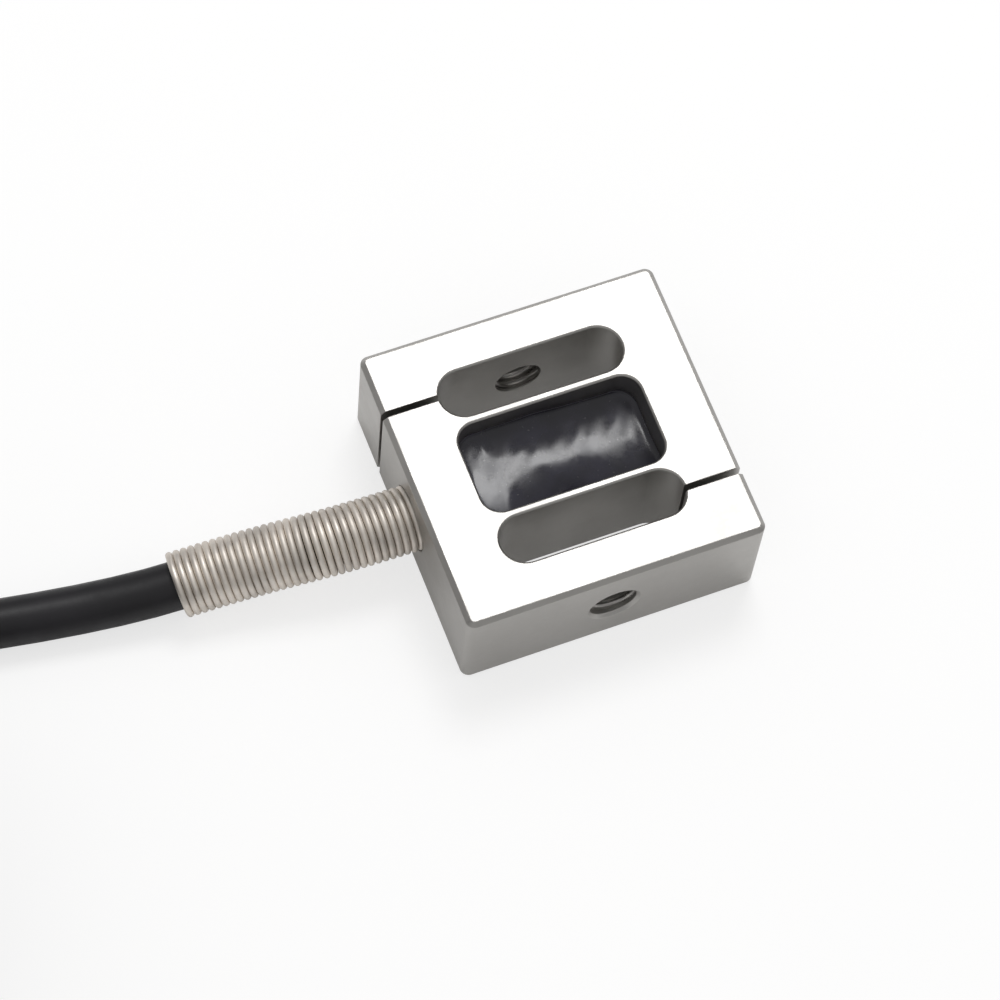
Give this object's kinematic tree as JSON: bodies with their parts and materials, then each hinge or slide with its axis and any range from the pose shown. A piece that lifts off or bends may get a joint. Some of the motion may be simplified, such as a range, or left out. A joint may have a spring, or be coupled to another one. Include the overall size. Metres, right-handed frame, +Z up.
{
  "type": "s type load cell",
  "caption": "Miniature S-beam load cell: slotted square metal body with threaded end holes, potted centre, spring strain relief and a shielded cable in a tied coil.",
  "frame": {"origin": "middle of the body's back face, which rests on the floor, ignoring the cable and what is on it", "axes": "+Z up through the body's thickness, Y along the load axis through both threaded holes, +X across the width, away from the cable"},
  "size_m": [0.0896, 0.0395, 0.0196],
  "materials": {
    "stainless_body": "satin machined, nearly white in even light",
    "potting": "glossy black compound with a meniscus",
    "spring_wire": "drawn spring wire, slightly warm",
    "cable_jacket": "satin black jacket",
    "shrink_sleeve": "matt shrunk sleeving",
    "nylon_tie": "moulded nylon",
    "insulation_red": "smooth insulation",
    "insulation_black": "smooth insulation",
    "insulation_green": "smooth insulation",
    "insulation_white": "smooth insulation",
    "tinned_wire": "tinned strands",
    "solder": "bright solder",
    "board": "green laminate",
    "gauge_foil": "amber film with a foil grid",
    "enamelled_wire": "enamelled copper"
  },
  "bodies": {
    "root": {"cable": "cable_jacket", "cable_coil": "cable_jacket", "cable_tail": "cable_jacket", "coil_tie_1": "nylon_tie", "coil_tie_2": "nylon_tie", "conductor_black": "insulation_black", "conductor_green": "insulation_green", "conductor_red": "insulation_red", "conductor_white": "insulation_white", "drain_wire": "tinned_wire", "end_sleeve": "shrink_sleeve", "jumper_wires": "enamelled_wire", "lead_black": "insulation_black", "lead_green": "insulation_green", "lead_red": "insulation_red", "lead_tips": "tinned_wire", "lead_white": "insulation_white", "potting_compound": "potting", "s_beam_body": "stainless_body", "solder_joints": "solder", "strain_gauge_lower_left": "gauge_foil", "strain_gauge_lower_right": "gauge_foil", "strain_gauge_upper_left": "gauge_foil", "strain_gauge_upper_right": "gauge_foil", "strain_relief_spring": "spring_wire", "terminal_board": "board"}
  },
  "joints": []
}
